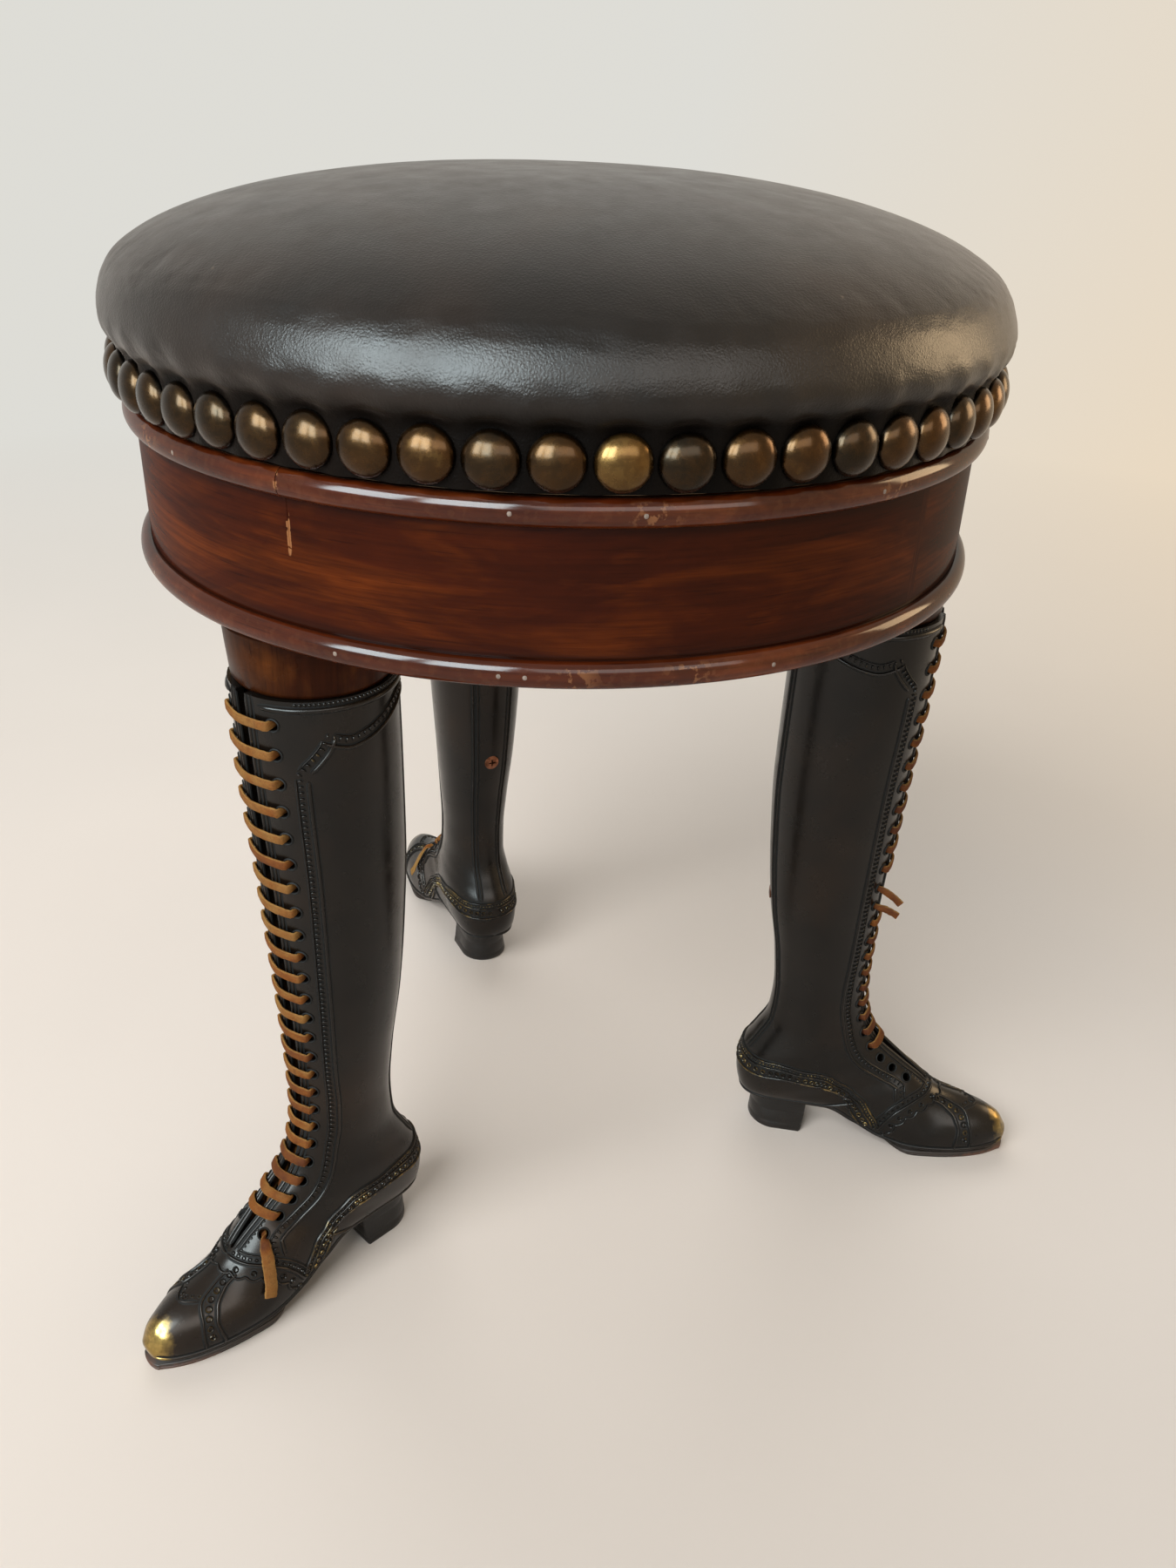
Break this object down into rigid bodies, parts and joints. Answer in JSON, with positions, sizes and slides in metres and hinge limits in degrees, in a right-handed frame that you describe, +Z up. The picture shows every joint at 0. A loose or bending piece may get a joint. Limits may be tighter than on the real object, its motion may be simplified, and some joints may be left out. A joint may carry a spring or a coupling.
{
  "type": "tripod stool",
  "caption": "Round stool with a crowned leather seat, a brass-nailed mahogany drum and cast lace-up boots for legs.",
  "frame": {"origin": "on the floor under the middle of the stool's box", "axes": "+Z up, one boot points to -Y and the other two to the back right and back left"},
  "size_m": [0.4128, 0.3998, 0.4333],
  "materials": {
    "mahogany_band": "french polished, glossy red-brown",
    "mahogany_bead": "french polished, worn lighter on the edge",
    "mahogany_post": "french polished, orange-brown",
    "base_board_pine": "bare",
    "seat_board_pine": "bare",
    "beech_dowel": "bare",
    "oak_wedge": "bare",
    "dark_leather": "satin, fine grain",
    "hair_padding": "matted stuffing",
    "antique_brass": "aged, satin",
    "patinated_brass": "black-brown patina, worn to brass on the toes",
    "copper_screw": "copper coloured, dull",
    "sole_leather": "raw edge, red-brown",
    "heel_leather": "blackened",
    "tan_thong": "raw tan edges"
  },
  "bodies": {
    "root": {"apron_hoop": "mahogany_band", "base_board": "base_board_pine", "boot_front": "patinated_brass", "boot_left": "patinated_brass", "boot_right": "patinated_brass", "boot_screw_front": "copper_screw", "boot_screw_left": "copper_screw", "boot_screw_right": "copper_screw", "bottom_bead": "mahogany_bead", "half_sole_front": "sole_leather", "half_sole_left": "sole_leather", "half_sole_right": "sole_leather", "heel_block_front": "heel_leather", "heel_block_left": "heel_leather", "heel_block_right": "heel_leather", "lace_front": "tan_thong", "lace_left": "tan_thong", "lace_right_lower": "tan_thong", "lace_right_upper": "tan_thong", "leather_cover": "dark_leather", "leg_post_front": "mahogany_post", "leg_post_left": "mahogany_post", "leg_post_right": "mahogany_post", "nail_row": "antique_brass", "seat_board": "seat_board_pine", "seat_dowel_front": "beech_dowel", "seat_dowel_left": "beech_dowel", "seat_dowel_right": "beech_dowel", "seat_padding": "hair_padding", "tenon_wedge_front": "oak_wedge", "tenon_wedge_left": "oak_wedge", "tenon_wedge_right": "oak_wedge", "top_bead": "mahogany_bead"}
  },
  "joints": []
}
